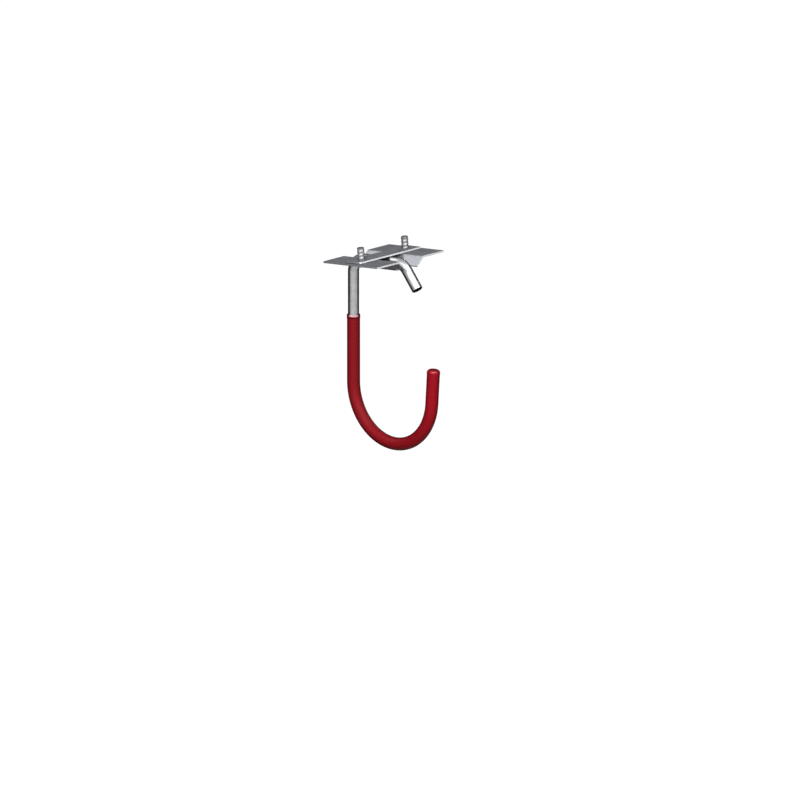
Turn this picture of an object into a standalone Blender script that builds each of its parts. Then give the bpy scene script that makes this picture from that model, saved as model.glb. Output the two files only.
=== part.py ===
"""Bicycle storage hook that screws up to a ceiling or a beam.

A round steel rod is bent into a wide U, and a soft sleeve covers the U, where the load rests.
Its upper end runs level through the channel of a folded saddle plate, and a short stub,
bent down through a notch, stops it from turning. A flat strap closes the channel, and two
screws come up through plate and strap.

Frame: the origin is the middle of the strap's top face, which bears on the ceiling. +Z is
up, +X runs along the level rod from the shank to the stub, and +Y runs along the strap.
"""
import math

import bmesh
import bpy
from mathutils import Vector

# Driving dimensions, in metres and degrees
CLEARANCE = 0.00025           # gap left between pieces that touch, and round each screw

ROD_DIAMETER = 0.0066
ROD_CHAMFER = 0.0004          # at both sawn ends
BEND_RADIUS = 0.0090          # to the rod's centreline, at both bends beside the plate
SHANK_LEAN = 5.5              # degrees between the shank and the plate's normal
SHANK_STANDOFF = 0.0024       # from the plate's edge out to the shank's centreline
SHANK_LENGTH = 0.0747         # from the level run's centreline to the start of the U
STUB_INSET = 0.0066           # from the plate's other edge in to the stub's centreline
STUB_ANGLE = 55.5             # degrees that the stub drops below the level run
STUB_LENGTH = 0.0183          # from the level run's centreline to the stub's end
HOOK_RADIUS = 0.0320          # of the U, to the rod's centreline
TIP_LEAN = 3.9                # degrees that the tip opens outwards
TIP_LENGTH = 0.0196           # straight rod after the U

SLEEVE_WALL = 0.0003
SLEEVE_CAP = 0.0012           # closed end over the rod's tip
BARE_SHANK = 0.0340           # from the level run's centreline down to the sleeve
SLEEVE_BEAD = 0.00015         # swelling at each end of the sleeve
SLEEVE_BEAD_LENGTH = 0.0016
SLEEVE_EDGE = 0.0003          # rounding at the open rim
CAP_EDGE = 0.0019             # rounding at the closed tip

PLATE_LENGTH = 0.0450         # along the rod
PLATE_THICKNESS = 0.0010
FLANGE_WIDTH = 0.0173         # flat part to each side of the channel
PLATE_CORNER = 0.0008
WALL_ANGLE = 43.0             # degrees that the channel's walls slope down
CHANNEL_ROUND = 0.0065        # inside radius at the channel's bottom
FOLD_RADIUS = 0.0010          # inside radius where a wall leaves its flange
NOTCH_CLEARANCE = 0.0019      # to each side of the rod, measured in the flat sheet
NOTCH_CORNER = 0.0045
NOTCH_RELIEF = 0.0004         # from the start of a bend to its notch

STRAP_WIDTH = 0.0120
STRAP_OVERHANG = 0.00725      # from a screw's centre to the strap's end
STRAP_THICKNESS = 0.0010
STRAP_CORNER = 0.0010

SCREW_DIAMETER = 0.0044
SCREW_SETBACK = 0.0078        # from the start of the flange to the screw's centre
SCREW_STAND = 0.0072          # above the strap
SCREW_CHAMFER = 0.0005
HEAD_DIAMETER = 0.0076
HEAD_HEIGHT = 0.0022
HEAD_RIM = 0.0008             # straight side of the head below its bearing face

# How finely round shapes are cut
BEND_STEP = 6.0               # degrees of bend between two rings of a tube
TUBE_RESOLUTION = 8           # a tube has twice this many sides, and four more
ROUND_STEPS = 4               # steps in a small rounding
CIRCLE_POINTS = 24
FOLD_STEPS = 8                # facets in half of the channel's bottom

# Levels, from the strap's top face down
strap_bottom = -STRAP_THICKNESS
plate_top = strap_bottom - CLEARANCE
plate_bottom = plate_top - PLATE_THICKNESS
rod_radius = ROD_DIAMETER / 2
run_level = plate_top - rod_radius
channel_floor = plate_top - ROD_DIAMETER - CLEARANCE
hole_radius = SCREW_DIAMETER / 2 + CLEARANCE

shank_x = -PLATE_LENGTH / 2 - SHANK_STANDOFF
stub_x = PLATE_LENGTH / 2 - STUB_INSET
stub_turn = math.radians(STUB_ANGLE)
shank_turn = math.radians(90 - SHANK_LEAN)
hook_turn = math.radians(180 - TIP_LEAN)

# The folded channel, measured along the middle of the sheet from the channel's bottom
wall_slope = math.radians(WALL_ANGLE)
floor_middle_radius = CHANNEL_ROUND + PLATE_THICKNESS / 2
fold_middle_radius = FOLD_RADIUS + PLATE_THICKNESS / 2
middle_level = plate_top - PLATE_THICKNESS / 2
floor_middle = channel_floor - PLATE_THICKNESS / 2
both_radii = floor_middle_radius + fold_middle_radius
wall_drop = middle_level - floor_middle - both_radii * (1 - math.cos(wall_slope))
wall_length = wall_drop / math.sin(wall_slope)
floor_end = floor_middle_radius * wall_slope
wall_end = floor_end + wall_length
fold_end = wall_end + fold_middle_radius * wall_slope
flange_start_y = both_radii * math.sin(wall_slope) + wall_length * math.cos(wall_slope)
screw_y = flange_start_y + SCREW_SETBACK


def clear_scene():
    for old in list(bpy.data.objects):
        bpy.data.objects.remove(old, do_unlink=True)


def new_collection(name):
    collection = bpy.data.collections.new(name)
    bpy.context.scene.collection.children.link(collection)
    return collection


def material(name, colour, roughness, metallic):
    made = bpy.data.materials.new(name)
    made.use_nodes = True
    shader = made.node_tree.nodes["Principled BSDF"]
    shader.inputs["Base Color"].default_value = (*colour, 1.0)
    shader.inputs["Roughness"].default_value = roughness
    shader.inputs["Metallic"].default_value = metallic
    return made


def setback(radius, turn):
    """How far before a corner a bend of this radius starts."""
    return radius * math.tan(turn / 2)


class Pen:
    """Draws a bent wire's centreline in the XZ plane, as a wire bender is told to."""

    def __init__(self, x, z, heading):
        self.x, self.z, self.heading = x, z, heading
        self.points = [Vector((x, 0, z))]

    def straight(self, length):
        self.x += length * math.cos(self.heading)
        self.z += length * math.sin(self.heading)
        self.points.append(Vector((self.x, 0, self.z)))

    def bend(self, radius, turn):
        """Turns anticlockwise, as seen with +X to the right and +Z up."""
        centre_x = self.x - radius * math.sin(self.heading)
        centre_z = self.z + radius * math.cos(self.heading)
        steps = max(2, round(math.degrees(turn) / BEND_STEP))
        for step in range(1, steps + 1):
            angle = self.heading + turn * step / steps
            self.x = centre_x + radius * math.sin(angle)
            self.z = centre_z - radius * math.cos(angle)
            self.points.append(Vector((self.x, 0, self.z)))
        self.heading += turn


def rod_points():
    """The whole rod, from the stub's end to the tip inside the sleeve."""
    end_x = stub_x + STUB_LENGTH * math.cos(stub_turn)
    end_z = run_level - STUB_LENGTH * math.sin(stub_turn)
    pen = Pen(end_x, end_z, math.pi - stub_turn)
    pen.straight(STUB_LENGTH - setback(BEND_RADIUS, stub_turn))
    pen.bend(BEND_RADIUS, stub_turn)
    pen.straight(stub_x - shank_x - setback(BEND_RADIUS, stub_turn) - setback(BEND_RADIUS, shank_turn))
    pen.bend(BEND_RADIUS, shank_turn)
    pen.straight(SHANK_LENGTH - setback(BEND_RADIUS, shank_turn))
    pen.bend(HOOK_RADIUS, hook_turn)
    pen.straight(TIP_LENGTH)
    return pen.points


def sleeve_points(start, end):
    """The rod's line from `start` down the shank, round the U, to `end` past it."""
    lean = math.radians(SHANK_LEAN)
    pen = Pen(shank_x - start * math.sin(lean), run_level - start * math.cos(lean), math.pi + shank_turn)
    pen.straight(SHANK_LENGTH - start)
    pen.bend(HOOK_RADIUS, hook_turn)
    pen.straight(end)
    return pen.points


def tube(name, points, radii):
    """A round bar along the points, with its own radius at each, as a closed mesh."""
    curve = bpy.data.curves.new(name, "CURVE")
    curve.dimensions = "3D"
    curve.bevel_depth = 1.0
    curve.bevel_resolution = TUBE_RESOLUTION
    curve.use_fill_caps = True
    spline = curve.splines.new("POLY")
    spline.points.add(len(points) - 1)
    for spot, point, radius in zip(spline.points, points, radii):
        spot.co = (*point, 1.0)
        spot.radius = radius
    return curve_to_mesh(curve)


def curve_to_mesh(curve):
    """A mesh object of the curve's surface, with its loose caps welded on."""
    source = bpy.data.objects.new(curve.name, curve)
    bpy.context.scene.collection.objects.link(source)
    graph = bpy.context.evaluated_depsgraph_get()
    mesh = bpy.data.meshes.new_from_object(source.evaluated_get(graph))
    work = bmesh.new()
    work.from_mesh(mesh)
    bmesh.ops.remove_doubles(work, verts=work.verts, dist=0.000001)
    bmesh.ops.recalc_face_normals(work, faces=work.faces)
    work.to_mesh(mesh)
    work.free()
    name = curve.name
    bpy.data.objects.remove(source, do_unlink=True)
    bpy.data.curves.remove(curve)
    return bpy.data.objects.new(name, mesh)


def finish(part, collection, look):
    collection.objects.link(part)
    part.data.materials.clear()
    part.data.materials.append(look)
    part.data.shade_smooth()
    part.data.set_sharp_from_angle(angle=math.radians(35))
    return part


def inset_point(points, distance):
    """A point this far along the line's first straight stretch."""
    return points[0] + (points[1] - points[0]).normalized() * distance


def hook_rod(collection, look):
    points = rod_points()
    first = inset_point(points, ROD_CHAMFER)
    last = inset_point(points[::-1], ROD_CHAMFER)
    points = [points[0], first, *points[1:-1], last, points[-1]]
    radii = [rod_radius] * len(points)
    radii[0] = radii[-1] = rod_radius - ROD_CHAMFER
    return finish(tube("hook_rod", points, radii), collection, look)


def quarter_round(depth, length):
    """Points from an end face's edge to the full side: how far in, and how far along."""
    for step in range(ROUND_STEPS + 1):
        angle = math.pi / 2 * step / ROUND_STEPS
        yield depth * (1 - math.sin(angle)), length * (1 - math.cos(angle))


def sleeve_skin():
    """The sleeve's outside: a rolled rim on the shank and a closed, rounded tip."""
    inner = rod_radius + CLEARANCE
    outer = inner + SLEEVE_WALL
    beaded = outer + SLEEVE_BEAD
    points = sleeve_points(BARE_SHANK, TIP_LENGTH + CLEARANCE + SLEEVE_CAP)
    middle, middle_radii = points[1:-1], [outer] * (len(points) - 2)
    rim, rim_radii, cap, cap_radii = [], [], [], []
    for inwards, along in quarter_round(SLEEVE_EDGE + SLEEVE_BEAD, SLEEVE_EDGE):
        rim.append(inset_point(points, along))
        rim_radii.append(beaded - inwards)
    for inwards, along in quarter_round(CAP_EDGE, CAP_EDGE):
        cap.append(inset_point(points[::-1], along))
        cap_radii.append(beaded - inwards)
    rim.append(inset_point(points, SLEEVE_BEAD_LENGTH))
    cap.append(inset_point(points[::-1], CAP_EDGE + SLEEVE_BEAD_LENGTH))
    return rim + middle + cap[::-1], rim_radii + [outer] + middle_radii + [outer] + cap_radii[::-1]


def grip_sleeve(collection, cutters, look):
    part = tube("grip_sleeve", *sleeve_skin())
    bore_points = sleeve_points(BARE_SHANK - ROD_DIAMETER, TIP_LENGTH + CLEARANCE)
    bore = tube("sleeve_bore", bore_points, [rod_radius + CLEARANCE] * len(bore_points))
    cutters.objects.link(bore)
    bore.hide_render = True
    bore.display_type = "WIRE"
    hollow = part.modifiers.new("bore", "BOOLEAN")
    hollow.operation = "DIFFERENCE"
    hollow.solver = "EXACT"
    hollow.object = bore
    return finish(part, collection, look)


def corner(centre_x, centre_y, radius, start):
    """A quarter circle of outline points, anticlockwise from the start angle in degrees."""
    for step in range(ROUND_STEPS + 1):
        angle = math.radians(start + 90 * step / ROUND_STEPS)
        yield centre_x + radius * math.cos(angle), centre_y + radius * math.sin(angle)


def circle(centre_x, centre_y, radius):
    for step in range(CIRCLE_POINTS):
        angle = 2 * math.pi * step / CIRCLE_POINTS
        yield centre_x + radius * math.cos(angle), centre_y + radius * math.sin(angle)


def sheet(name, outlines, thickness):
    """A flat sheet, half its thickness to each side of its own XY plane."""
    curve = bpy.data.curves.new(name, "CURVE")
    curve.dimensions = "2D"
    curve.fill_mode = "BOTH"
    curve.extrude = thickness / 2
    for outline in outlines:
        spline = curve.splines.new("POLY")
        spline.points.add(len(outline) - 1)
        for spot, (x, y) in zip(spline.points, outline):
            spot.co = (x, y, 0, 1)
        spline.use_cyclic_u = True
    return curve_to_mesh(curve)


def folded(across):
    """Where a place in the flat sheet lies after folding, and the sheet's upward normal."""
    side = math.copysign(1, across)
    flat = abs(across)
    if flat <= floor_end:
        angle = flat / floor_middle_radius
        y = floor_middle_radius * math.sin(angle)
        z = floor_middle + floor_middle_radius * (1 - math.cos(angle))
    elif flat <= wall_end:
        angle = wall_slope
        y = floor_middle_radius * math.sin(angle) + (flat - floor_end) * math.cos(angle)
        z = floor_middle + floor_middle_radius * (1 - math.cos(angle)) + (flat - floor_end) * math.sin(angle)
    elif flat <= fold_end:
        angle = wall_slope - (flat - wall_end) / fold_middle_radius
        y = flange_start_y - fold_middle_radius * math.sin(angle)
        z = middle_level - fold_middle_radius * (1 - math.cos(angle))
    else:
        angle = 0
        y = flange_start_y + flat - fold_end
        z = middle_level
    return Vector((0, side * y, z)), Vector((0, -side * math.sin(angle), math.cos(angle)))


def notch(edge_x, tip_x):
    """Outline points of a notch in the sheet's +X end, from its -Y side to its +Y side."""
    if tip_x >= edge_x:
        return []
    half = rod_radius + NOTCH_CLEARANCE
    radius = min(NOTCH_CORNER, half, edge_x - tip_x)
    lower = list(corner(tip_x + radius, -half + radius, radius, 180))
    upper = list(corner(tip_x + radius, half - radius, radius, 90))
    return [(edge_x, -half), *lower[::-1], *upper[::-1], (edge_x, half)]


def saddle_blank():
    """The flat sheet's outlines: corners, a notch at each end and two screw holes."""
    half_length = PLATE_LENGTH / 2
    x, y = half_length - PLATE_CORNER, fold_end + FLANGE_WIDTH - PLATE_CORNER
    stub_tip = stub_x - setback(BEND_RADIUS, stub_turn) + NOTCH_RELIEF
    shank_tip = shank_x + setback(BEND_RADIUS, shank_turn) - NOTCH_RELIEF
    stub_notch = notch(half_length, stub_tip)
    shank_notch = [(-a, -b) for a, b in notch(half_length, -shank_tip)]
    outline = [*corner(x, -y, PLATE_CORNER, 270), *stub_notch, *corner(x, y, PLATE_CORNER, 0),
               *corner(-x, y, PLATE_CORNER, 90), *shank_notch, *corner(-x, -y, PLATE_CORNER, 180)]
    holes = [list(circle(0, side * (fold_end + SCREW_SETBACK), hole_radius)) for side in (-1, 1)]
    return [outline, *holes]


def fold_lines():
    """Places across the flat sheet where it is creased into facets."""
    for step in range(FOLD_STEPS + 1):
        yield floor_end * step / FOLD_STEPS
    for step in range(ROUND_STEPS + 1):
        yield wall_end + (fold_end - wall_end) * step / ROUND_STEPS


def saddle_plate(collection, look):
    part = sheet("saddle_plate", saddle_blank(), PLATE_THICKNESS)
    work = bmesh.new()
    work.from_mesh(part.data)
    across = Vector((0, 1, 0))
    for line in fold_lines():
        for place in {line, -line}:
            everything = [*work.verts, *work.edges, *work.faces]
            bmesh.ops.bisect_plane(work, geom=everything, plane_co=across * place, plane_no=across,
                                   dist=0.0000001)
    for spot in work.verts:
        place, normal = folded(spot.co.y)
        spot.co = Vector((spot.co.x, 0, 0)) + place + normal * spot.co.z
    bmesh.ops.triangulate(work, faces=work.faces)
    work.to_mesh(part.data)
    work.free()
    return finish(part, collection, look)


def clamp_strap(collection, look):
    x, y = STRAP_WIDTH / 2 - STRAP_CORNER, screw_y + STRAP_OVERHANG - STRAP_CORNER
    outline = [*corner(x, -y, STRAP_CORNER, 270), *corner(x, y, STRAP_CORNER, 0),
               *corner(-x, y, STRAP_CORNER, 90), *corner(-x, -y, STRAP_CORNER, 180)]
    holes = [list(circle(0, side * screw_y, hole_radius)) for side in (-1, 1)]
    part = sheet("clamp_strap", [outline, *holes], STRAP_THICKNESS)
    part.location.z = strap_bottom + STRAP_THICKNESS / 2
    return finish(part, collection, look)


def screw_profile():
    """Half of a pan-head screw, from its end down. Its bearing face is at height 0."""
    radius = SCREW_DIAMETER / 2
    length = SCREW_STAND - (plate_bottom - CLEARANCE)
    head_radius = HEAD_DIAMETER / 2
    yield 0, length
    yield radius - SCREW_CHAMFER, length
    yield radius, length - SCREW_CHAMFER
    yield radius, 0
    yield head_radius, 0
    for step in range(2 * ROUND_STEPS + 1):
        angle = math.pi / 2 * step / (2 * ROUND_STEPS)
        yield head_radius * math.cos(angle), -HEAD_RIM - (HEAD_HEIGHT - HEAD_RIM) * math.sin(angle)


def screw(name, y, collection, look):
    mesh = bpy.data.meshes.new(name)
    points = [(x, 0, z) for x, z in screw_profile()]
    mesh.from_pydata(points, [(i, i + 1) for i in range(len(points) - 1)], [])
    part = bpy.data.objects.new(name, mesh)
    collection.objects.link(part)
    part.location = (0, y, plate_bottom - CLEARANCE)
    turned = part.modifiers.new("turned", "SCREW")
    turned.steps = turned.render_steps = CIRCLE_POINTS
    turned.use_merge_vertices = True
    turned.merge_threshold = 0.00001
    turned.use_smooth_shade = False
    mesh.materials.append(look)
    return part


def build():
    clear_scene()
    parts = new_collection("bicycle_storage_hook")
    cutters = new_collection("cutters")
    zinc = material("bright_zinc", (0.40, 0.405, 0.415), 0.32, 1.0)
    sheet_steel = material("dark_sheet_steel", (0.32, 0.33, 0.365), 0.40, 0.6)
    strap_steel = material("dark_strap_steel", (0.31, 0.32, 0.355), 0.40, 0.6)
    screw_steel = material("screw_steel", (0.42, 0.42, 0.43), 0.45, 0.9)
    red_vinyl = material("red_vinyl", (0.30, 0.0055, 0.012), 0.40, 0.0)
    hook_rod(parts, zinc)
    grip_sleeve(parts, cutters, red_vinyl)
    saddle_plate(parts, sheet_steel)
    clamp_strap(parts, strap_steel)
    screw("screw_near", -screw_y, parts, screw_steel)
    screw("screw_far", screw_y, parts, screw_steel)


build()
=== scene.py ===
# %% [markdown]
# # A storage hook for a bicycle
# A steel rod bent like a J, with a red vinyl sleeve over its U, hangs from a folded saddle
# plate. A flat strap lies across the plate, and two coarse screws stand up through both.
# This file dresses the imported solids, node by node, with pieces that show what the solids
# leave out: the threads, the rolled lip of the sleeve, the sheared edges and the finishes.

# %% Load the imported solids
import math

import bmesh
import bpy
import numpy as np
from mathutils import Matrix, Vector


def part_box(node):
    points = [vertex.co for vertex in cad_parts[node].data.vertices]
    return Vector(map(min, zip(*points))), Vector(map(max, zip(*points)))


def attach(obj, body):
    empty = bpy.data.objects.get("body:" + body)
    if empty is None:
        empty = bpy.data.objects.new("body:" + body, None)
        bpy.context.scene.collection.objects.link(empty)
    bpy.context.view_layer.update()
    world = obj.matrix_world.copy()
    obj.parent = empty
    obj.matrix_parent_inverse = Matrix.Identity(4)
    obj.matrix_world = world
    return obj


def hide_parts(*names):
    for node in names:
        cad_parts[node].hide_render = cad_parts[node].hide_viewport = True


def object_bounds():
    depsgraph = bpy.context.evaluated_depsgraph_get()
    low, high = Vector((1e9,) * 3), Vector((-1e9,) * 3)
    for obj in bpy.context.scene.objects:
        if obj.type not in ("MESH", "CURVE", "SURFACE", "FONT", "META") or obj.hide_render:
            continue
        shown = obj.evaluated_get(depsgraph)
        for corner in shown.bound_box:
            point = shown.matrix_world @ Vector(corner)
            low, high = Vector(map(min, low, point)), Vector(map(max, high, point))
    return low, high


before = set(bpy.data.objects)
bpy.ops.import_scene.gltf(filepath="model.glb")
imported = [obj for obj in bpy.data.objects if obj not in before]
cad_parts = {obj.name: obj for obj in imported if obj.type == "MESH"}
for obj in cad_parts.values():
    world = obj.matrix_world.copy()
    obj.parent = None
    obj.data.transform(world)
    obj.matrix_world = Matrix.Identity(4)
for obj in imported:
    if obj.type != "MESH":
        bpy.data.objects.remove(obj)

cad_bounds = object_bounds()
print("nodes:", sorted(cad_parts))
print("CAD box, mm:", [[round(v * 1000, 2) for v in corner] for corner in cad_bounds])

# %% [markdown]
# ## Sizes
# The pieces below stand in the places of solids, so they take the solids' own sizes. All are
# in metres, and each height is counted from the strap's top face, where the frame starts.

# %% Sizes of the hook
GAP = 0.00025
ROD_RADIUS = 0.0033
RUN_LEVEL = -0.00455
SHANK_X = -0.0249
STUB_X = 0.0159
BEND_RADIUS = 0.0090
SHANK_TURN = math.radians(84.5)
STUB_TURN = math.radians(55.5)
STUB_LENGTH = 0.0183
SHANK_LENGTH = 0.0747
HOOK_RADIUS = 0.0320
HOOK_TURN = math.radians(176.1)
TIP_LENGTH = 0.0196
BARE_SHANK = 0.0340
SLEEVE_WALL = 0.0003
SLEEVE_CAP = 0.0012

# %% [markdown]
# ## Working by hand, in code
# Every piece starts as a primitive and is shaped in edit mode. An operator acts on all that
# is selected, so these small helpers see to it that one piece is active and nothing else is
# picked, and that faces, edges and points are chosen by where they are.


# %% Helpers for picking
WELD_DISTANCE = 0.000002
SAME_PLACE = 0.0001
SMOOTH_BELOW = 30


def only(piece):
    """Makes this piece the active one, and the only one selected."""
    bpy.ops.object.select_all(action="DESELECT")
    piece.select_set(True)
    bpy.context.view_layer.objects.active = piece


def started(name):
    """The primitive that was just added, with its place moved into its mesh."""
    piece = bpy.context.object
    piece.name = piece.data.name = name
    bpy.ops.object.transform_apply(location=True, rotation=True, scale=True)
    return piece


def pick(piece, test, kind="FACE"):
    """In edit mode, selects the faces, edges or points for which the test is true."""
    bpy.ops.mesh.select_mode(type=kind)
    bpy.ops.mesh.select_all(action="DESELECT")
    mesh = bmesh.from_edit_mesh(piece.data)
    items = {"FACE": mesh.faces, "EDGE": mesh.edges, "VERT": mesh.verts}[kind]
    for item in [item for item in items if test(item)]:
        item.select_set(True)
    mesh.select_flush_mode()
    bmesh.update_edit_mesh(piece.data)


def apply(piece, kind, **settings):
    """Adds a modifier with these settings and applies it."""
    only(piece)
    modifier = piece.modifiers.new(kind.lower(), kind)
    for key, value in settings.items():
        setattr(modifier, key, value)
    bpy.ops.object.modifier_apply(modifier=modifier.name)


def cut(piece, tool, operation="DIFFERENCE"):
    """Cuts the piece with a tool, or joins the two, and throws the tool away."""
    apply(piece, "BOOLEAN", operation=operation, solver="EXACT", object=tool)
    bpy.data.objects.remove(tool, do_unlink=True)


def weld(piece):
    """Merges doubles and turns every face outwards."""
    only(piece)
    bpy.ops.object.mode_set(mode="EDIT")
    bpy.ops.mesh.select_all(action="SELECT")
    bpy.ops.mesh.remove_doubles(threshold=WELD_DISTANCE)
    bpy.ops.mesh.normals_make_consistent(inside=False)
    bpy.ops.object.mode_set(mode="OBJECT")


def settle(piece, node, angle=SMOOTH_BELOW):
    """Welds the piece, smooths it across edges below the angle, and compares it with its node."""
    weld(piece)
    bpy.ops.object.shade_smooth_by_angle(angle=math.radians(angle))
    corners = np.array([v.co for v in piece.data.vertices])
    low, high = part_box(node)
    off = max(np.abs(corners.min(0) - low).max(), np.abs(corners.max(0) - high).max())
    check = bmesh.new()
    check.from_mesh(piece.data)
    open_edges = sum(not edge.is_manifold for edge in check.edges)
    volume = check.calc_volume(signed=True)
    check.free()
    print(f"{piece.name}: {len(piece.data.polygons)} faces, {open_edges} open edges, "
          f"{volume * 1e9:.0f} cubic mm, box within {off * 1000:.2f} mm of {node}")


# %% [markdown]
# ## Bending wire
# A wire bender feeds a rod forward and turns it round a former. The helper does the same
# with a ring of edges: `feed` extrudes the ring straight on, and `bend` spins it round the
# former's centre. It notes the rod's line as it goes. From that line each point of the
# finished piece learns how far along the rod it lies and on which side, so that drawing
# marks and scratches can follow the bends.


# %% A wire bender for rings of edges
RING = 48
BEND_STEP = math.radians(3)
LINE_STEPS = 4000


class Bender:
    """Feeds and bends a ring of edges, and notes the line that its centre follows."""

    def __init__(self, name, x, z, heading, radius):
        self.x, self.z, self.heading = x, z, heading
        self.line = [(x, z, heading)]
        bpy.ops.object.select_all(action="DESELECT")
        tilt = math.pi / 2 - heading
        bpy.ops.mesh.primitive_circle_add(vertices=RING, radius=radius, fill_type="NGON",
                                          location=(x, 0, z), rotation=(0, tilt, 0))
        self.piece = started(name)
        bpy.ops.object.mode_set(mode="EDIT")
        bpy.ops.mesh.select_mode(type="EDGE")
        bpy.ops.mesh.select_all(action="SELECT")
        self.radius = radius

    def feed(self, length, radius=None):
        """Extrudes the ring straight on, and widens or narrows it to the radius given."""
        self.x += length * math.cos(self.heading)
        self.z += length * math.sin(self.heading)
        step = (length * math.cos(self.heading), 0, length * math.sin(self.heading))
        bpy.ops.mesh.extrude_edges_move(TRANSFORM_OT_translate={"value": step})
        if radius and radius != self.radius:
            bpy.ops.transform.resize(value=(radius / self.radius,) * 3,
                                     center_override=(self.x, 0, self.z))
            self.radius = radius
        self.line.append((self.x, self.z, self.heading))

    def bend(self, former, turn):
        """Spins the ring round a former, anticlockwise as seen from the front."""
        way = math.copysign(1, turn)
        centre_x = self.x - way * former * math.sin(self.heading)
        centre_z = self.z + way * former * math.cos(self.heading)
        steps = max(2, round(abs(turn) / BEND_STEP))
        bpy.ops.mesh.spin(steps=steps, angle=abs(turn), center=(centre_x, 0, centre_z),
                          axis=(0, way, 0))
        for step in range(1, steps + 1):
            angle = self.heading + turn * step / steps
            self.x = centre_x + way * former * math.sin(angle)
            self.z = centre_z - way * former * math.cos(angle)
            self.line.append((self.x, self.z, angle))
        self.heading += turn

    def close(self):
        """Closes the far end with a face."""
        bpy.ops.mesh.edge_face_add()
        bpy.ops.object.mode_set(mode="OBJECT")
        return self.piece


def setback(radius, turn):
    """How far before a corner a bend of this radius starts."""
    return radius * math.tan(turn / 2)


def note_wire(piece, line):
    """Stores where each point would lie if the rod were straight: along it, and across it."""
    x, z, heading = np.array(line).T
    along = np.concatenate([[0], np.cumsum(np.hypot(np.diff(x), np.diff(z)))])
    points = np.array([v.co for v in piece.data.vertices])
    fine = np.linspace(0, along[-1], LINE_STEPS)
    fine_x, fine_z = np.interp(fine, along, x), np.interp(fine, along, z)
    fine_heading = np.interp(fine, along, heading)
    nearest = np.argmin((points[:, :1] - fine_x) ** 2 + (points[:, 2:] - fine_z) ** 2, axis=1)
    side = ((points[:, 2] - fine_z[nearest]) * np.cos(fine_heading[nearest])
            - (points[:, 0] - fine_x[nearest]) * np.sin(fine_heading[nearest]))
    straight = np.stack([fine[nearest], points[:, 1], side], axis=1)
    attribute = piece.data.attributes.new("wire", "FLOAT_VECTOR", "POINT")
    attribute.data.foreach_set("vector", straight.astype(np.float32).ravel())
    print(f"{piece.name}: {along[-1] * 1000:.1f} mm along its line")


# %% [markdown]
# ## The rod
# The real rod is cold-drawn wire, sawn off and bent cold in three places. It could be a
# bevelled curve, which is how the solid was made, but extruding and spinning a ring gives
# even quads round each bend and a chamfered, sawn end in the same stroke.

# %% Bend the rod
SAW_CHAMFER = 0.0004

stub_end_x = STUB_X + STUB_LENGTH * math.cos(STUB_TURN)
stub_end_z = RUN_LEVEL - STUB_LENGTH * math.sin(STUB_TURN)
bender = Bender("rod_bent", stub_end_x, stub_end_z, math.pi - STUB_TURN, ROD_RADIUS - SAW_CHAMFER)
bender.feed(SAW_CHAMFER, ROD_RADIUS)
bender.feed(STUB_LENGTH - SAW_CHAMFER - setback(BEND_RADIUS, STUB_TURN))
bender.bend(BEND_RADIUS, STUB_TURN)
bender.feed(STUB_X - SHANK_X - setback(BEND_RADIUS, STUB_TURN) - setback(BEND_RADIUS, SHANK_TURN))
bender.bend(BEND_RADIUS, SHANK_TURN)
bender.feed(SHANK_LENGTH - setback(BEND_RADIUS, SHANK_TURN))
bender.bend(HOOK_RADIUS, HOOK_TURN)
bender.feed(TIP_LENGTH - SAW_CHAMFER)
bender.feed(SAW_CHAMFER, ROD_RADIUS - SAW_CHAMFER)
rod = bender.close()
note_wire(rod, bender.line)
settle(rod, "hook_rod")

# %% [markdown]
# ## The sleeve
# A vinyl sleeve is pushed on from the tip: closed and rounded there, with a slightly thicker
# rolled lip where it ends on the shank. The same bender draws its skin the other way round,
# from the tip to the lip, and Solidify then gives the skin its wall on the inside.

# %% Draw the sleeve's skin and thicken it
SKIN_RADIUS = ROD_RADIUS + GAP + SLEEVE_WALL
LIP_SWELL = 0.00015
LIP_LENGTH = 0.0016
LIP_SHOULDER = 0.0012
LIP_ROLL = 0.00018
TIP_ROUND = 0.0019
ROUND_STEPS = 8
SKIN_TRIM = 0.00004
SLEEVE_SMOOTH = 40


def quarter_turn():
    """The angles of a quarter turn, in pairs that are one step apart."""
    angles = [math.pi / 2 * step / ROUND_STEPS for step in range(ROUND_STEPS + 1)]
    return zip(angles, angles[1:])


lean = SHANK_TURN - math.pi / 2
hook_start = Vector((SHANK_X + SHANK_LENGTH * math.sin(lean), 0,
                     RUN_LEVEL - SHANK_LENGTH * math.cos(lean)))
hook_heading = math.pi + SHANK_TURN
hook_centre = hook_start + HOOK_RADIUS * Vector((-math.sin(hook_heading), 0,
                                                 math.cos(hook_heading)))
tip_heading = hook_heading + HOOK_TURN
tip_start = hook_centre + HOOK_RADIUS * Vector((math.sin(tip_heading), 0, -math.cos(tip_heading)))
tip_reach = TIP_LENGTH + GAP + SLEEVE_CAP
tip_end = tip_start + tip_reach * Vector((math.cos(tip_heading), 0, math.sin(tip_heading)))

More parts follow.
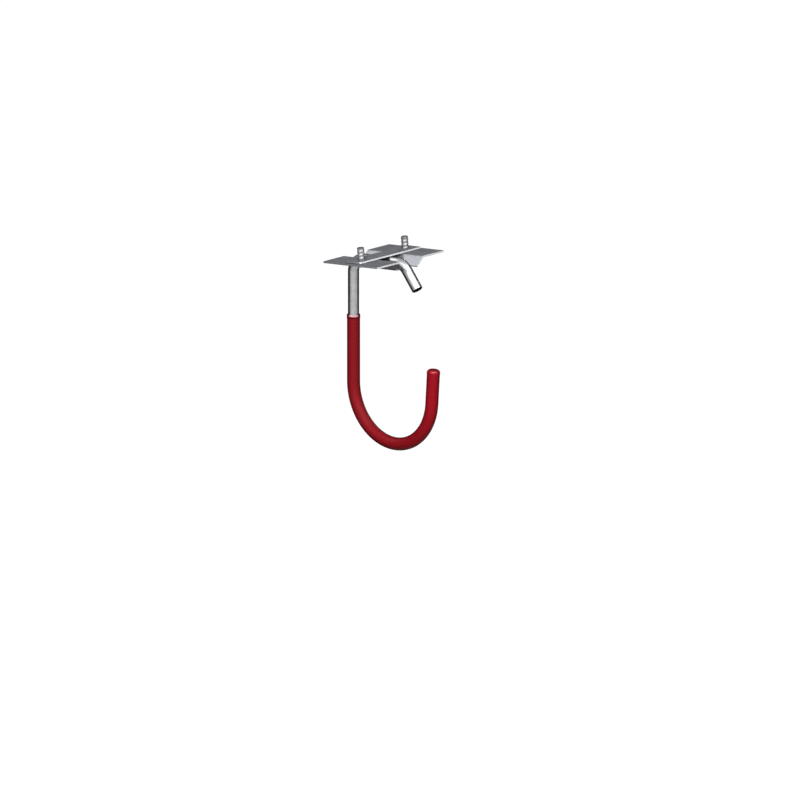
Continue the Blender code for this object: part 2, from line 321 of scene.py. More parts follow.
swollen = SKIN_RADIUS + LIP_SWELL
bender = Bender("sleeve_skin", tip_end.x, tip_end.z, tip_heading + math.pi, swollen - TIP_ROUND)
for before, angle in quarter_turn():
    bender.feed(TIP_ROUND * (math.cos(before) - math.cos(angle)),
                swollen - TIP_ROUND * (1 - math.sin(angle)))
bender.feed(LIP_LENGTH, SKIN_RADIUS)
bender.feed(tip_reach - TIP_ROUND - LIP_LENGTH)
bender.bend(HOOK_RADIUS, -HOOK_TURN)
bender.feed(SHANK_LENGTH - BARE_SHANK - 2 * LIP_LENGTH)
for step in range(1, ROUND_STEPS + 1):
    swell = LIP_SWELL * (1 - math.cos(math.pi * step / ROUND_STEPS)) / 2
    bender.feed((2 * LIP_LENGTH - LIP_SHOULDER) / ROUND_STEPS, SKIN_RADIUS + swell)
for before, angle in quarter_turn():
    bender.feed(LIP_SHOULDER * (math.sin(angle) - math.sin(before)),
                swollen - (LIP_SWELL + LIP_ROLL) * (1 - math.cos(angle)))
bpy.ops.object.mode_set(mode="OBJECT")
sleeve = bender.piece
weld(sleeve)
apply(sleeve, "SOLIDIFY", thickness=SLEEVE_WALL - SKIN_TRIM, offset=-1, use_even_offset=True,
      use_rim=True)
note_wire(sleeve, bender.line)
settle(sleeve, "grip_sleeve", SLEEVE_SMOOTH)

# %% [markdown]
# ## The saddle plate
# The real plate is blanked flat, with both notches and both holes in it, and then folded on a
# press. Pushing points into the folded shape would squeeze the notches, so the piece is made
# as the press does it: a flat blank, creased where it bends, and turned a little about each
# crease. It starts with the outer folds, so the creases still to come lie flat. The sheared
# edges that face along x keep a material slot of their own, for bare steel that is also
# painted nearly white as light; those that face along y keep the sheet's dark colour.

# %% Cut the flat blank
SHEET = 0.0010
PLATE_TOP = -0.00125
PLATE_LENGTH = 0.0450
FLANGE_WIDTH = 0.0173
WALL_ANGLE = math.radians(43)
FLOOR_RADIUS = 0.0070
FOLD_RADIUS = 0.0015
NOTCH_HALF = ROD_RADIUS + 0.0019
NOTCH_CORNER = 0.0045
NOTCH_RELIEF = 0.0004
SCREW_RADIUS = 0.0022
SCREW_SETBACK = 0.0078
PLATE_CORNER = 0.0008
HOLE_STEPS = 48
NOTCH_STEPS = 12

channel_depth = 2 * ROD_RADIUS + GAP
wall_rise = channel_depth - (FLOOR_RADIUS + FOLD_RADIUS) * (1 - math.cos(WALL_ANGLE))
wall_width = wall_rise / math.sin(WALL_ANGLE)
wall_start = FLOOR_RADIUS * WALL_ANGLE
fold_start = wall_start + wall_width
flange_start = fold_start + FOLD_RADIUS * WALL_ANGLE
half_blank = flange_start + FLANGE_WIDTH
screw_y = ((FLOOR_RADIUS + FOLD_RADIUS) * math.sin(WALL_ANGLE) + wall_width * math.cos(WALL_ANGLE)
           + SCREW_SETBACK)


def block(name, low, high):
    """A box from one corner to the other."""
    low, high = Vector(low), Vector(high)
    bpy.ops.mesh.primitive_cube_add(size=1, location=(low + high) / 2, scale=high - low)
    return started(name)


def upright(edge):
    """True for an edge that stands on end."""
    return abs(edge.verts[0].co.z - edge.verts[1].co.z) > SAME_PLACE


def round_corners(piece, radius, where=lambda edge: True, segments=6):
    """Rounds the upright edges of a block, all of them or those for which `where` is true."""
    only(piece)
    bpy.ops.object.mode_set(mode="EDIT")
    pick(piece, lambda edge: upright(edge) and where(edge), "EDGE")
    bpy.ops.mesh.bevel(offset=radius, segments=segments, profile=0.5)
    bpy.ops.object.mode_set(mode="OBJECT")


def drill(piece, y, radius, top=0.01, bottom=-0.01):
    """Drills a hole straight down through the piece at x = 0."""
    bpy.ops.mesh.primitive_cylinder_add(vertices=HOLE_STEPS, radius=radius, depth=top - bottom,
                                        location=(0, y, (top + bottom) / 2))
    cut(piece, started("drill"))


plate = block("plate_folded", (-PLATE_LENGTH / 2, -half_blank, -SHEET / 2),
              (PLATE_LENGTH / 2, half_blank, SHEET / 2))
round_corners(plate, PLATE_CORNER)
stub_notch = STUB_X - setback(BEND_RADIUS, STUB_TURN) + NOTCH_RELIEF
shank_notch = SHANK_X + setback(BEND_RADIUS, SHANK_TURN) - NOTCH_RELIEF
for inner, outer in ((stub_notch, PLATE_LENGTH), (shank_notch, -PLATE_LENGTH)):
    punch = block("punch", (min(inner, outer), -NOTCH_HALF, -SHEET),
                  (max(inner, outer), NOTCH_HALF, SHEET))
    round_corners(punch, NOTCH_CORNER,
                  lambda edge: abs(edge.verts[0].co.x - inner) < SAME_PLACE, NOTCH_STEPS)
    cut(plate, punch)
for side in (-1, 1):
    drill(plate, side * (flange_start + SCREW_SETBACK), SCREW_RADIUS + GAP)
# Edges that face along x get bare steel painted nearly white as light; edges along y stay dark.
for face in plate.data.polygons:
    face.material_index = int(abs(face.normal.x) > 0.5)
print(f"blank {1000 * PLATE_LENGTH:.1f} by {2000 * half_blank:.1f} mm, "
      f"screws {2000 * screw_y:.1f} mm apart")

# %% Fold the blank on its creases
FLOOR_CREASES = 12
FOLD_CREASES = 8
CREASE_MARGIN = 0.00002
PLATE_EDGE = 0.00007
SHARP_ABOVE = math.radians(50)
FLAT_SMOOTH = 18


def spaced(start, end, turn, count):
    """Creases at even distances, each with its share of the turn."""
    return [(start + (end - start) * (k + 0.5) / count, turn / count) for k in range(count)]


creases = spaced(0, wall_start, WALL_ANGLE, FLOOR_CREASES)
creases += spaced(fold_start, flange_start, -WALL_ANGLE, FOLD_CREASES)
only(plate)
bpy.ops.object.mode_set(mode="EDIT")
for place, _ in creases:
    for side in (-1, 1):
        bpy.ops.mesh.select_all(action="SELECT")
        bpy.ops.mesh.bisect(plane_co=(0, side * place, 0), plane_no=(0, 1, 0))
for place, turn in reversed(creases):
    for side in (-1, 1):
        pick(plate, lambda point: point.co.y * side > place + CREASE_MARGIN, "VERT")
        bpy.ops.transform.rotate(value=-side * turn, orient_axis="X",
                                 center_override=(0, side * place, 0))
bpy.ops.mesh.select_all(action="SELECT")
bpy.ops.transform.translate(value=(0, 0, PLATE_TOP - SHEET / 2 - channel_depth))
bpy.ops.object.mode_set(mode="OBJECT")
apply(plate, "BEVEL", width=PLATE_EDGE, segments=2, limit_method="ANGLE", angle_limit=SHARP_ABOVE)
settle(plate, "saddle_plate", FLAT_SMOOTH)

# %% [markdown]
# ## The strap
# A plain strip with rounded corners and two holes. A block with bevelled corners is enough,
# and a hair of rounding on its edges lets them catch the light as worn steel does.

# %% Make the strap
STRAP_WIDTH = 0.0120
STRAP_OVERHANG = 0.00725
STRAP_CORNER = 0.0010
STRAP_EDGE = 0.00009

strap_end = screw_y + STRAP_OVERHANG
strap = block("strap_flat", (-STRAP_WIDTH / 2, -strap_end, -SHEET), (STRAP_WIDTH / 2, strap_end, 0))
round_corners(strap, STRAP_CORNER)
for side in (-1, 1):
    drill(strap, side * screw_y, SCREW_RADIUS + GAP)
# Edges that face along x get bare steel painted nearly white as light; edges along y stay dark.
for face in strap.data.polygons:
    face.material_index = int(abs(face.normal.x) > 0.5)
apply(strap, "BEVEL", width=STRAP_EDGE, segments=2, limit_method="ANGLE", angle_limit=SHARP_ABOVE)
settle(strap, "clamp_strap", FLAT_SMOOTH)

# %% [markdown]
# ## The screws
# Their coarse thread shows above the strap. Rings stacked on a cylinder would look like
# ridges on a bottle, so the thread is a true helix: half a section, one pitch high, is
# traced point by point and swept round and up by the Screw modifier, so that each turn ends
# where the next begins. The pan head is spun from its half section, and a cross is sunk in it.

# %% Sweep the thread
THREAD_PITCH = 0.0021
THREAD_DEPTH = 0.00022
SCREW_TOP = 0.0072
SCREW_END = 0.0005
HEAD_TOP = PLATE_TOP - SHEET - GAP
THREAD_OVERLAP = 0.0005
THREAD_EXCESS = 0.0002
THREAD_STEPS = 40
GAUGE_DEPTH = 0.03


def traced(name, points):
    """A line of edges: a plane shrunk to one point, and that point extruded from place to place."""
    points = [Vector((x, 0, z)) for x, z in points]
    bpy.ops.mesh.primitive_plane_add(size=0.001, location=points[0])
    piece = started(name)
    bpy.ops.object.mode_set(mode="EDIT")
    bpy.ops.mesh.select_mode(type="VERT")
    bpy.ops.mesh.select_all(action="SELECT")
    bpy.ops.mesh.merge(type="CENTER")
    for here, there in zip(points, points[1:]):
        bpy.ops.mesh.extrude_vertices_move(TRANSFORM_OT_translate={"value": there - here})
    bpy.ops.object.mode_set(mode="OBJECT")
    return piece


root = SCREW_RADIUS - THREAD_DEPTH
flank = [(root, 0), (root, 0.16), (root + 0.1 * THREAD_DEPTH, 0.22), (SCREW_RADIUS, 0.46),
         (SCREW_RADIUS, 0.56), (root + 0.1 * THREAD_DEPTH, 0.80), (root, 0.86), (root, 1)]
thread_foot = HEAD_TOP - THREAD_OVERLAP
thread = traced("thread", [(x, thread_foot + THREAD_PITCH * (part - 1.5)) for x, part in flank])
turns = math.ceil((SCREW_TOP - thread_foot) / THREAD_PITCH) + 3
apply(thread, "SCREW", angle=2 * math.pi, steps=THREAD_STEPS, render_steps=THREAD_STEPS,
      iterations=turns, screw_offset=THREAD_PITCH, axis="Z", use_normal_calculate=True)
weld(thread)
bpy.ops.object.mode_set(mode="EDIT")
for height, upwards in ((thread_foot, False), (SCREW_TOP + THREAD_EXCESS, True)):
    bpy.ops.mesh.select_all(action="SELECT")
    bpy.ops.mesh.bisect(plane_co=(0, 0, height), plane_no=(0, 0, 1), use_fill=True,
                        clear_outer=upwards, clear_inner=not upwards)
bpy.ops.object.mode_set(mode="OBJECT")
weld(thread)

bpy.ops.mesh.primitive_cylinder_add(vertices=64, radius=SCREW_RADIUS * 1.05, depth=GAUGE_DEPTH,
                                    location=(0, 0, SCREW_TOP - GAUGE_DEPTH / 2))
gauge = started("gauge")
bpy.ops.object.mode_set(mode="EDIT")
pick(gauge, lambda edge: min(v.co.z for v in edge.verts) > SCREW_TOP - SAME_PLACE, "EDGE")
bpy.ops.mesh.bevel(offset=SCREW_END, segments=1)
bpy.ops.object.mode_set(mode="OBJECT")
cut(thread, gauge, "INTERSECT")
print(f"thread: {turns} turns, {len(thread.data.polygons)} faces")

# %% Spin the head and sink its cross
HEAD_RADIUS = 0.0038
HEAD_HEIGHT = 0.0022
HEAD_RIM = 0.0008
CROSS_LENGTH = 0.0040
CROSS_WIDTH = 0.0009
CROSS_DEPTH = 0.0013
CROSS_MARGIN = 0.001
CROSS_TAPER_ALONG = 0.55
CROSS_TAPER_ACROSS = 0.8
HEAD_EDGE = 0.0001
HEAD_ARC_STEPS = 12
HEAD_TURN_STEPS = 48
SCREW_SMOOTH = 35

head_bottom = HEAD_TOP - HEAD_HEIGHT
head_side = [(0, HEAD_TOP), (HEAD_RADIUS - HEAD_EDGE, HEAD_TOP),
             (HEAD_RADIUS, HEAD_TOP - HEAD_EDGE)]
for step in range(HEAD_ARC_STEPS + 1):
    angle = math.pi / 2 * step / HEAD_ARC_STEPS
    drop = HEAD_RIM + (HEAD_HEIGHT - HEAD_RIM) * math.sin(angle)
    head_side.append((HEAD_RADIUS * math.cos(angle), HEAD_TOP - drop))
head = traced("head", head_side)
bpy.ops.object.mode_set(mode="EDIT")
bpy.ops.mesh.select_all(action="SELECT")
bpy.ops.mesh.spin(steps=HEAD_TURN_STEPS, angle=2 * math.pi, center=(0, 0, 0), axis=(0, 0, 1))
bpy.ops.object.mode_set(mode="OBJECT")
weld(head)
cut(head, thread, "UNION")
for turned in (False, True):
    size = (CROSS_LENGTH / 2, CROSS_WIDTH / 2)
    taper = (CROSS_TAPER_ALONG, CROSS_TAPER_ACROSS)
    if turned:
        size, taper = size[::-1], taper[::-1]
    wing = block("wing", (-size[0], -size[1], head_bottom - CROSS_MARGIN),
                 (*size, head_bottom + CROSS_DEPTH))
    only(wing)
    bpy.ops.object.mode_set(mode="EDIT")
    pick(wing, lambda face: face.normal.z > 0.5)
    bpy.ops.transform.resize(value=(*taper, 1), center_override=(0, 0, 0))
    bpy.ops.object.mode_set(mode="OBJECT")
    cut(head, wing)

# %% Place both screws
screws = {}
for node, y, turn in (("screw_near", -screw_y, 0.4), ("screw_far", screw_y, 2.1)):
    only(head)
    bpy.ops.object.duplicate()
    screw = bpy.context.object
    screw.rotation_euler.z = turn
    screw.location.y = y
    screws[node] = started(node + "_threaded")
    settle(screws[node], node, SCREW_SMOOTH)
bpy.data.objects.remove(head, do_unlink=True)

# %% [markdown]
# ## Writing finishes as sums
# A finish is mostly arithmetic: roughness is a base plus a little of one noise, colour is a
# blend by another. Written node by node that is hard to read, so `Signal` wraps a socket and
# lets Python's operators add the Math nodes. Every other node comes from `Finish.node`.

# %% A small language for finishes
class Signal:
    """A value that varies over a surface."""

    def __init__(self, finish, socket):
        self.finish, self.socket = finish, socket

    def _maths(self, operation, first, second):
        return self.finish.node("ShaderNodeMath", {0: first, 1: second}, operation=operation)

    def __add__(self, other):
        return self._maths("ADD", self, other)

    def __sub__(self, other):
        return self._maths("SUBTRACT", self, other)

    def __rsub__(self, other):
        return self._maths("SUBTRACT", other, self)

    def __mul__(self, other):
        return self._maths("MULTIPLY", self, other)

    __radd__, __rmul__ = __add__, __mul__

    def rise(self, low, high):
        """0 below the low value, 1 above the high one, and a soft step between them."""
        settings = {"Value": self, "From Min": low, "From Max": high}
        return self.finish.node("ShaderNodeMapRange", settings, interpolation_type="SMOOTHSTEP")


class Finish:
    """A material with one Principled shader, whose sockets take numbers, colours or signals."""

    def __init__(self, name, **sockets):
        self.material = bpy.data.materials.new(name)
        self.material.use_nodes = True
        self.tree = self.material.node_tree
        self.shader = self.tree.nodes["Principled BSDF"]
        self.set(**sockets)

    def node(self, kind, sockets, out=0, **settings):
        """Adds a node, sets it up, feeds its sockets and gives one of its outputs."""
        made = self.tree.nodes.new(kind)
        for key, value in settings.items():
            setattr(made, key, value)
        for key, value in sockets.items():
            self.feed(made.inputs[key], value)
        return Signal(self, made.outputs[out])

    def feed(self, socket, value):
        """Links a signal to a socket, or sets the socket to a number or a colour."""
        if isinstance(value, Signal):
            self.tree.links.new(value.socket, socket)
        elif socket.type == "RGBA":
            socket.default_value = (*value, 1)
        else:
            socket.default_value = value

    def set(self, **sockets):
        """Feeds the shader's sockets: base_color becomes Base Color, and so on."""
        names = {"coat_ior": "Coat IOR", "specular": "Specular IOR Level"}
        for key, value in sockets.items():
            self.feed(self.shader.inputs[names.get(key, key.replace("_", " ").title())], value)

    def place(self):
        """Where a point lies, in the object's own metres."""
        return self.node("ShaderNodeTexCoord", {}, "Object")

    def wire(self):
        """Where a point of a bent rod would lie if the rod were straight."""
        return self.node("ShaderNodeAttribute", {}, "Vector", attribute_name="wire")

    def noise(self, where, stretch, detail=3, rough=0.5):
        """Noise with this many ripples to the metre along each axis."""
        scaled = self.node("ShaderNodeVectorMath", {0: where, 1: stretch}, operation="MULTIPLY")
        sockets = {"Vector": scaled, "Scale": 1, "Detail": detail, "Roughness": rough}
        return self.node("ShaderNodeTexNoise", sockets, "Fac")

    def blend(self, factor, first, second):
        """The first colour where the factor is 0, and the second where it is 1."""
        sockets = {0: factor, 6: first, 7: second}
        return self.node("ShaderNodeMix", sockets, 2, data_type="RGBA")

    def bump(self, height, depth):
        """Bump in which a height of 1 stands this many metres proud."""
        sockets = {"Height": height, "Distance": depth, "Strength": 1}
        self.set(normal=self.node("ShaderNodeBump", sockets))


def dressed(piece, body_slot, node, *finishes):
    """Puts the finishes on, sets the piece in place of its solid and lets it ride on the body."""
    for finish in finishes:
        piece.data.materials.append(finish.material)
    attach(piece, "root")
    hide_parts(node)


# %% [markdown]
# ## Zinc on drawn wire
# Bright zinc is nearly a mirror, broken by the fine lines that the drawing die left along
# the wire and by the cloudy bloom of the plating. The lines read the `wire` attribute, so they
# run round every bend, and patches that were rubbed are duller. The sawn end is bare and
# ringed by the blade, and painted nearly black as shade, because it faces down.

# %% Finish the rod
zinc = Finish("drawn_zinc", metallic=1, specular_tint=(0, 0, 0))
wire = zinc.wire()
lines = zinc.noise(wire, (25, 2600, 2600), 4, 0.6)
bloom = zinc.noise(wire, (260, 260, 260), 5, 0.62)
rubs = zinc.noise(wire, (90, 700, 700), 2, 0.5).rise(0.56, 0.72)
bright = zinc.blend(bloom.rise(0.3, 0.7), (0.31, 0.315, 0.325), (0.40, 0.405, 0.415))
zinc.set(base_color=bright, roughness=0.22 + 0.10 * lines + 0.10 * bloom + 0.08 * rubs)
zinc.bump(lines * 0.6 + rubs * 0.4, 0.000012)

sawn = Finish("sawn_end_painted_shade", specular=0)
rings = sawn.noise(sawn.wire(), (0, 900, 7000), 2)
# The end's colour is painted shade, nearly black; the rings are the blade's.
sawn.set(base_color=sawn.blend(rings, (0.010, 0.010, 0.011), (0.045, 0.045, 0.048)),
         roughness=0.4 + 0.2 * rings)
sawn.bump(rings, 0.00003)

stub_end = Vector((stub_end_x, 0, stub_end_z))
stub_way = Vector((math.cos(STUB_TURN), 0, -math.sin(STUB_TURN)))
for face in rod.data.polygons:
    face.material_index = int((face.center - stub_end).dot(stub_way) > -1.2 * SAW_CHAMFER)
dressed(rod, "bright_zinc", "hook_rod", zinc, sawn)

# %% [markdown]
# ## Red vinyl
# Soft vinyl has a deep, even colour, a satin skin with a faint orange peel, and a little
# polish where things rub along it: noise at three sizes, in the bump, the roughness and the
# red. Its clear skin swallows light at a slant, so the sleeve's sides are darker than its
# middle. A coat with a grey tint does this, and with an index of refraction of 1 it adds no
# reflection. Light is also painted into the red: a lighter red from the tip round the U,
# a ring of painted shade below the rolled lip, and painted highlights, pale and without the
# coat, on the camera's side of the lip and of the tip's rim. Those marks are steps along the
# `wire` attribute, and across it. The sleeve's line starts down from the tip and ends going
# up the shank, so the camera's side is the other way on its side axis.

# %% Finish the sleeve
# The way toward the camera, in x and y; the painted highlights lie on this side.
CAMERA_SIDE_X, CAMERA_SIDE_Y = 0.69, -0.72

vinyl = Finish("red_vinyl", specular=0.08, coat_ior=1.0, coat_tint=(0.72, 0.72, 0.72),
               coat_roughness=0.4)
wire = vinyl.wire()
drift = vinyl.noise(wire, (60, 220, 220), 2)
along, across, side = [vinyl.node("ShaderNodeSeparateXYZ", {0: wire}, axis) for axis in "XYZ"]
# Painted light: the red is lighter from the tip round the U.
painted_light_near_tip = 1 - along.rise(0.02, 0.10)
peel = vinyl.noise(wire, (1500, 2300, 2300), 3, 0.45)
polish = vinyl.noise(wire, (120, 500, 500), 4, 0.6)
red = vinyl.blend(0.3 * drift + 0.7 * painted_light_near_tip,
                  (0.38, 0.0150, 0.0225), (0.61, 0.0115, 0.0270))
sleeve_length = max(point.vector.x for point in sleeve.data.attributes["wire"].data)
lip_line = sleeve_length - LIP_SHOULDER
# Painted shade: a dark ring just below the rolled lip.
shade_below_lip_top = 1 - along.rise(lip_line, lip_line + 0.0001)
painted_shade_below_lip = along.rise(lip_line - 0.0010, lip_line - 0.0004) * shade_below_lip_top
red = vinyl.blend(0.75 * painted_shade_below_lip, red, (0.05, 0.0010, 0.0020))
# Painted highlight: the lip's shoulder on the camera's side is pale and has no coat.
lip_highlight_side = (across * CAMERA_SIDE_Y - side * CAMERA_SIDE_X).rise(0.0026, 0.0034)
# Painted highlight: a pale arc on the tip's rounded rim, on the camera's side, at half strength and
# without coat.
tip_highlight_side = (across * CAMERA_SIDE_Y + side * CAMERA_SIDE_X).rise(0.0028, 0.0036)
painted_lip_highlight = lip_highlight_side * along.rise(lip_line - 0.0001, lip_line + 0.0004)
painted_tip_highlight = tip_highlight_side * along.rise(0.0002, 0.0004) * (1 - along.rise(0.0007, 0.0011))
red = vinyl.blend(painted_lip_highlight, red, (0.98, 0.55, 0.60))
red = vinyl.blend(0.5 * painted_tip_highlight, red, (1.0, 0.32, 0.40))
vinyl.set(base_color=red, roughness=0.34 + 0.16 * polish, coat_weight=1 - painted_lip_highlight - painted_tip_highlight)
vinyl.bump(peel, 0.00002)
dressed(sleeve, "red_vinyl", "grip_sleeve", vinyl)

# %% [markdown]
# ## Rolled sheet and its sheared edges
# The faces of the sheet are dark and dull, with a grain along the way it was rolled. Its
# edges were sheared through, to bare steel with short lines across them. The edges that face
# along x are also painted nearly white as light, and those that face along y keep the dark
# colour of the faces.

# %% Finish the plate and the strap
def rolled(name, dark, light, grain_way):
    """The dull face of rolled sheet, with its grain along the way of least stretch."""
    finish = Finish(name, metallic=0.5, specular=0, specular_tint=(0, 0, 0))
    place = finish.place()
    grain = finish.noise(place, grain_way, 4, 0.6)
    mottle = finish.noise(place, (170, 170, 170), 4, 0.6)
    tone = finish.blend((0.5 * grain + 0.5 * mottle).rise(0.35, 0.65), dark, light)
    finish.set(base_color=tone, roughness=0.30 + 0.14 * grain + 0.08 * mottle)
    finish.bump(grain, 0.00001)
    return finish


def sheared_with_painted_light(name):
    """A cut edge of bare steel, with strokes across it, made nearly white as painted light."""
    finish = Finish(name, metallic=0.1, specular=0)
    place = finish.place()
    strokes = finish.noise(place, (3000, 3000, 260), 3)
    finish.set(base_color=finish.blend(strokes, (0.88, 0.89, 0.90), (0.98, 0.98, 0.98)),
               roughness=0.30 + 0.15 * strokes)
    finish.bump(strokes, 0.00001)
    return finish


dressed(plate, "dark_sheet_steel", "saddle_plate",
        rolled("rolled_sheet", (0.262, 0.270, 0.292), (0.323, 0.331, 0.356), (40, 1500, 1500)),
        sheared_with_painted_light("sheared_sheet_painted_light"))
dressed(strap, "dark_strap_steel", "clamp_strap",
        rolled("rolled_strip", (0.278, 0.287, 0.315), (0.342, 0.352, 0.384), (1500, 40, 1500)),
        sheared_with_painted_light("sheared_strip_painted_light"))

# %% [markdown]
# ## Screw steel
# The screws are plain bright steel, with a patchy film on it. Their ends were cropped and
# are torn across. The faces at the end that look up are made dark, and get a finish of their own.

# %% Finish the screws
steel = Finish("screw_steel", metallic=0.9, specular=0, specular_tint=(0, 0, 0))
film = steel.noise(steel.place(), (900, 900, 900), 4, 0.6)
steel.set(base_color=steel.blend(film.rise(0.35, 0.7), (0.265, 0.265, 0.275), (0.37, 0.37, 0.38)),
          roughness=0.38 + 0.16 * film)

cropped = Finish("cropped_end", metallic=0.4, specular=0)
tears = cropped.noise(cropped.place(), (2600, 500, 500), 3)
cropped.set(base_color=cropped.blend(tears, (0.05, 0.05, 0.055), (0.16, 0.16, 0.17)),
            roughness=0.45 + 0.2 * tears)
cropped.bump(tears, 0.00002)
for node, screw in screws.items():
    # The end faces that look up are made dark.
    for face in screw.data.polygons:
        high = face.center.z > SCREW_TOP - 0.9 * SCREW_END
        face.material_index = int(high and face.normal.z > 0.3)
    dressed(screw, "screw_steel", node, steel, cropped)

# %% [markdown]
# ## Studio
# The picture was taken from far off, from the right and a little above, and the plate hangs
# tipped by five and a half degrees. A very long lens stands for the flat view, and the camera
# is rolled by the same tip, because the frame is the plate's own. The floor lies well below the
# hook. It glows white where the camera or a reflection looks at it but throws little light
# up, and it is glass-clear from beneath, so that the underside can be seen too.

# %% Place the camera
TIP = math.radians(5.5)
PHOTO_AZIMUTH = math.radians(44)
PHOTO_ELEVATION = math.radians(15)
FRAME_WIDTH = 0.4692
LENS = 1000
SENSOR = 36
AIM_RIGHT = 0.0098
AIM_DOWN = 0.0858
CLIP_END = 60

upright_way = Vector((math.sin(TIP), 0, math.cos(TIP)))
level_x = Vector((math.cos(TIP), 0, -math.sin(TIP)))
back = (level_x * math.sin(PHOTO_AZIMUTH) * math.cos(PHOTO_ELEVATION)
        - Vector((0, 1, 0)) * math.cos(PHOTO_AZIMUTH) * math.cos(PHOTO_ELEVATION)
        + upright_way * math.sin(PHOTO_ELEVATION))
right = upright_way.cross(back).normalized()
up = back.cross(right)
aim = right * AIM_RIGHT - up * AIM_DOWN
camera = bpy.data.objects.new("camera", bpy.data.cameras.new("camera"))
bpy.context.scene.collection.objects.link(camera)
bpy.context.scene.camera = camera
camera.data.lens = LENS
camera.data.sensor_width = SENSOR
camera.data.clip_end = CLIP_END
turned = Matrix((right, up, back)).transposed().to_4x4()
camera.matrix_world = Matrix.Translation(aim + back * FRAME_WIDTH * LENS / SENSOR) @ turned
print(f"camera {camera.location.length:.2f} m away")

# %% Lay the floor
FLOOR_DROP = 0.40
FLOOR_LEVEL = cad_bounds[0].z - FLOOR_DROP
FLOOR_SIZE = 40
PAPER = 0.12
PAPER_GLOW = 1.0


def bright_rays(tree):
    """1 for the rays that should meet a white background, and 0 for those that carry light."""
    path = tree.nodes.new("ShaderNodeLightPath")
    total = path.outputs["Is Camera Ray"]
    for ray in ("Is Glossy Ray", "Is Transmission Ray"):
        either = tree.nodes.new("ShaderNodeMath")
        either.operation = "MAXIMUM"
        tree.links.new(total, either.inputs[0])
        tree.links.new(path.outputs[ray], either.inputs[1])
        total = either.outputs[0]
    return total


bpy.ops.mesh.primitive_plane_add(size=FLOOR_SIZE, location=(0, 0, FLOOR_LEVEL))
floor = started("floor")
paper = Finish("pale_floor", base_color=(PAPER, PAPER, PAPER), roughness=1, specular=0)
shown = Signal(paper, bright_rays(paper.tree))
glow = paper.node("ShaderNodeEmission", {"Color": (1, 1, 1), "Strength": shown * PAPER_GLOW},
                  "Emission")
lit = paper.node("ShaderNodeAddShader", {0: Signal(paper, paper.shader.outputs[0]), 1: glow})
clear = paper.node("ShaderNodeBsdfTransparent", {"Color": (1, 1, 1)})
beneath = paper.node("ShaderNodeNewGeometry", {}, "Backfacing")
seen = paper.node("ShaderNodeMixShader", {0: beneath, 1: lit, 2: clear})
paper.tree.links.new(seen.socket, paper.tree.nodes["Material Output"].inputs["Surface"])
floor.data.materials.append(paper.material)

# %% [markdown]
# ## Light
# White surroundings flatten metal, so the world is white only to the camera and in
# reflections, and a dim grey as a lamp. The key beside the camera gives the form, and weaker
# lamps lift the far side and the top. The key is hidden from reflections, where it would be a
# small hard spot. The window and the crest are the other way round: large and soft, seen
# only in reflections, they lay the broad white bands along the bent steel. Bright metal still
# looks flat in an all-white room, so photographers stand black flags beside and behind it, out
# of sight, and the metal draws its own dark edges with them. Here they are one curved screen
# that only reflections can see, split by a gap below its header.

# %% Set the lamps
WORLD_LEVEL = 0.08
LAMP_TARGET = Vector((0, 0, -0.05))

world = bpy.data.worlds.new("studio")
bpy.context.scene.world = world
world.use_nodes = True
level = world.node_tree.nodes.new("ShaderNodeMapRange")
level.inputs["To Min"].default_value = WORLD_LEVEL
level.inputs["To Max"].default_value = 1
world.node_tree.links.new(bright_rays(world.node_tree), level.inputs["Value"])
world.node_tree.links.new(level.outputs[0], world.node_tree.nodes["Background"].inputs["Strength"])
world.node_tree.nodes["Background"].inputs["Color"].default_value = (1, 1, 1, 1)


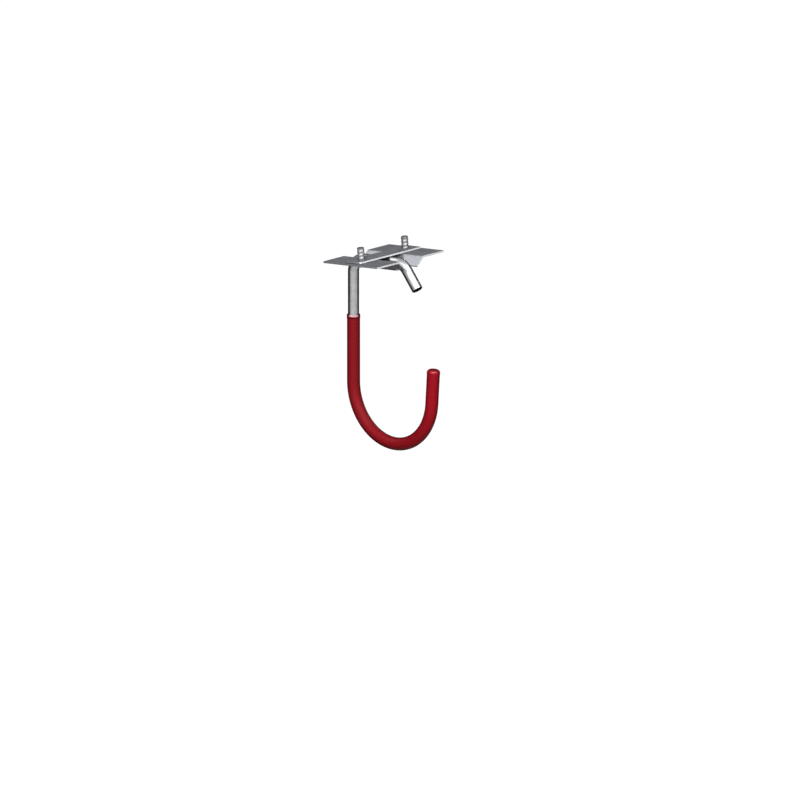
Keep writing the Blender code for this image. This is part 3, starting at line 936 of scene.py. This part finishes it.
def soft_lamp(name, azimuth, elevation, distance, size, power, hidden_from="camera"):
    """A square lamp that faces the hook from an azimuth and an elevation in degrees."""
    azimuth, elevation = math.radians(azimuth), math.radians(elevation)
    away = Vector((math.sin(azimuth) * math.cos(elevation),
                   -math.cos(azimuth) * math.cos(elevation), math.sin(elevation)))
    lamp = bpy.data.objects.new(name, bpy.data.lights.new(name, "AREA"))
    bpy.context.scene.collection.objects.link(lamp)
    lamp.data.size = size
    lamp.data.energy = power
    lamp.location = LAMP_TARGET + away * distance
    lamp.rotation_euler = away.to_track_quat("Z", "Y").to_euler()
    lamp.visible_camera = False
    setattr(lamp, "visible_" + hidden_from, False)


soft_lamp("key", 42, 34, 1.8, 0.9, 24, "glossy")
soft_lamp("window", 34, 34, 1.8, 2.6, 50, "diffuse")
soft_lamp("spark", 38, 34, 1.7, 0.3, 2)
soft_lamp("side", 60, 10, 1.8, 1.0, 7)
soft_lamp("fill", 287, 44, 1.8, 0.6, 7.2)
soft_lamp("back", 200, 20, 1.8, 1.0, 15)
soft_lamp("crest", 95, 46, 1.8, 1.5, 25, "diffuse")

# %% Stand the black flags
FLAG_DISTANCE = 0.45
FLAG_TOP = 0.35
HEADER_FOOT = -0.03
HEADER_SPAN = (130, 327)
FLAG_SPANS = ((130, 188), (232, 327))
FLAG_STEPS = 180

bpy.ops.mesh.primitive_cylinder_add(vertices=FLAG_STEPS, radius=FLAG_DISTANCE,
                                    depth=FLAG_TOP - FLOOR_LEVEL, end_fill_type="NOTHING",
                                    location=(0, 0, (FLAG_TOP + FLOOR_LEVEL) / 2))
flags = started("black_flags")
bpy.ops.object.mode_set(mode="EDIT")
bpy.ops.mesh.select_all(action="SELECT")
bpy.ops.mesh.bisect(plane_co=(0, 0, HEADER_FOOT), plane_no=(0, 0, 1))


def open_air(face):
    """True where neither the flags nor the header across their upper ends should stand."""
    middle = face.calc_center_median()
    azimuth = math.degrees(math.atan2(middle.x, -middle.y)) % 360
    spans = [HEADER_SPAN] if middle.z > HEADER_FOOT else FLAG_SPANS
    return not any(low < azimuth < high for low, high in spans)


pick(flags, open_air)
bpy.ops.mesh.delete(type="FACE")
bpy.ops.object.mode_set(mode="OBJECT")
velvet = Finish("black_velvet", base_color=(0.03, 0.03, 0.03), roughness=1, specular=0)
flags.data.materials.append(velvet.material)
for ray in ("camera", "diffuse", "transmission", "volume_scatter", "shadow"):
    setattr(flags, "visible_" + ray, False)
print(f"flags: {len(flags.data.polygons)} faces")

# %% [markdown]
# ## View transform
# For plain colours, the view transform is Standard.

# %% Set the view transform
bpy.context.scene.view_settings.view_transform = "Standard"
